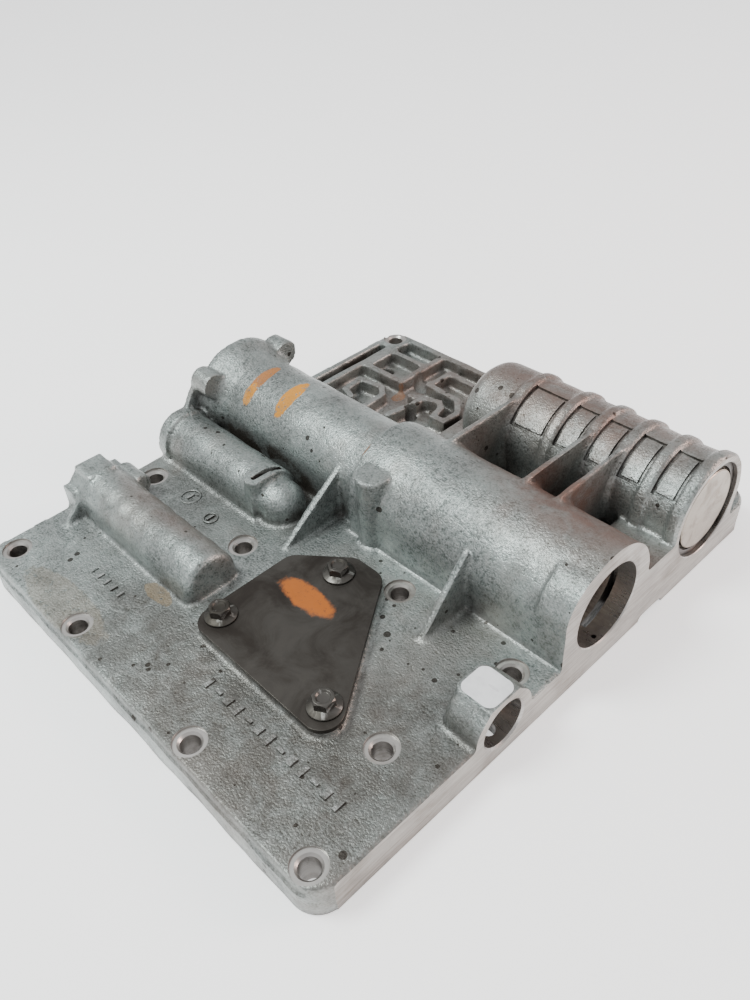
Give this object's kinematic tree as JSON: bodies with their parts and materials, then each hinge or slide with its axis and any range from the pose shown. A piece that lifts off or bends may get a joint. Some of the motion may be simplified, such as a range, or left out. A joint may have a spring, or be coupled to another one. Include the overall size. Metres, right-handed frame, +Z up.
{
  "type": "hydraulic valve body",
  "caption": "Cast aluminium hydraulic control body with plugged accumulator bores, sliding spool valves, springs, a bolted cover plate and an open side port.",
  "frame": {"origin": "middle of the plate, on the gasket face", "axes": "+Z up from the gasket face, +X out of the machined face with the open bores, +Y towards the ribbed barrel"},
  "size_m": [0.222, 0.255, 0.0564],
  "materials": {
    "cast_aluminium": "oily sand-cast surface",
    "cover_steel": "dark oily sheet steel",
    "gasket_paper": "oil-soaked gasket",
    "bolt_steel": "dark phosphate",
    "turned_aluminium": "fine turned",
    "piston_aluminium": "fine turned",
    "seal_rubber": "matt",
    "spring_steel": "drawn wire",
    "ring_steel": "blackened",
    "valve_steel": "ground",
    "label_paper": "white paper"
  },
  "bodies": {
    "control_body": {"valve_body_casting": "cast_aluminium", "filter_cover_plate": "cover_steel", "cover_gasket": "gasket_paper", "cover_flange_bolts": "bolt_steel", "front_snap_ring": "ring_steel", "front_bore_plug": "turned_aluminium", "front_plug_o_ring": "seal_rubber", "front_accumulator_spring": "spring_steel", "rear_snap_ring": "ring_steel", "rear_bore_plug": "turned_aluminium", "rear_plug_o_ring": "seal_rubber", "rear_accumulator_spring": "spring_steel", "ribbed_snap_ring": "ring_steel", "ribbed_bore_plug": "turned_aluminium", "ribbed_plug_o_ring": "seal_rubber", "ribbed_outer_spring": "spring_steel", "ribbed_inner_spring": "spring_steel", "regulator_plug": "turned_aluminium", "regulator_plug_pin": "ring_steel", "regulator_spring": "spring_steel", "shift_valve_plug": "turned_aluminium", "shift_valve_plug_pin": "ring_steel", "shift_valve_spring": "spring_steel", "shift_spring_retainer": "cover_steel", "inspection_label": "label_paper"},
    "front_piston": {"front_accumulator_piston": "piston_aluminium", "front_piston_seal": "seal_rubber"},
    "rear_piston": {"rear_accumulator_piston": "piston_aluminium", "rear_piston_seal": "seal_rubber"},
    "ribbed_piston": {"ribbed_accumulator_piston": "piston_aluminium", "ribbed_piston_seal": "seal_rubber"},
    "regulator_valve": {"regulator_spool": "valve_steel"},
    "shift_valve": {"shift_valve_spool": "valve_steel"}
  },
  "joints": [
    {"name": "front_piston_slide", "type": "slide", "parent": "control_body", "child": "front_piston", "axis": [-1, 0, 0], "range_m": [0, 0.014], "stiffness_N_per_m": 3000, "springref_m": -0.008, "deforming": ["front_accumulator_spring"]},
    {"name": "rear_piston_slide", "type": "slide", "parent": "control_body", "child": "rear_piston", "axis": [1, 0, 0], "range_m": [0, 0.012], "stiffness_N_per_m": 2500, "springref_m": -0.008, "deforming": ["rear_accumulator_spring"]},
    {"name": "ribbed_piston_slide", "type": "slide", "parent": "control_body", "child": "ribbed_piston", "axis": [-1, 0, 0], "range_m": [0, 0.016], "stiffness_N_per_m": 3500, "springref_m": -0.008, "deforming": ["ribbed_outer_spring", "ribbed_inner_spring"]},
    {"name": "regulator_spool_slide", "type": "slide", "parent": "control_body", "child": "regulator_valve", "axis": [1, 0, 0], "range_m": [0, 0.006], "stiffness_N_per_m": 1200, "springref_m": -0.006, "deforming": ["regulator_spring"]},
    {"name": "shift_spool_slide", "type": "slide", "parent": "control_body", "child": "shift_valve", "axis": [1, 0, 0], "range_m": [0, 0.005], "stiffness_N_per_m": 900, "springref_m": -0.005, "deforming": ["shift_valve_spring"]}
  ]
}
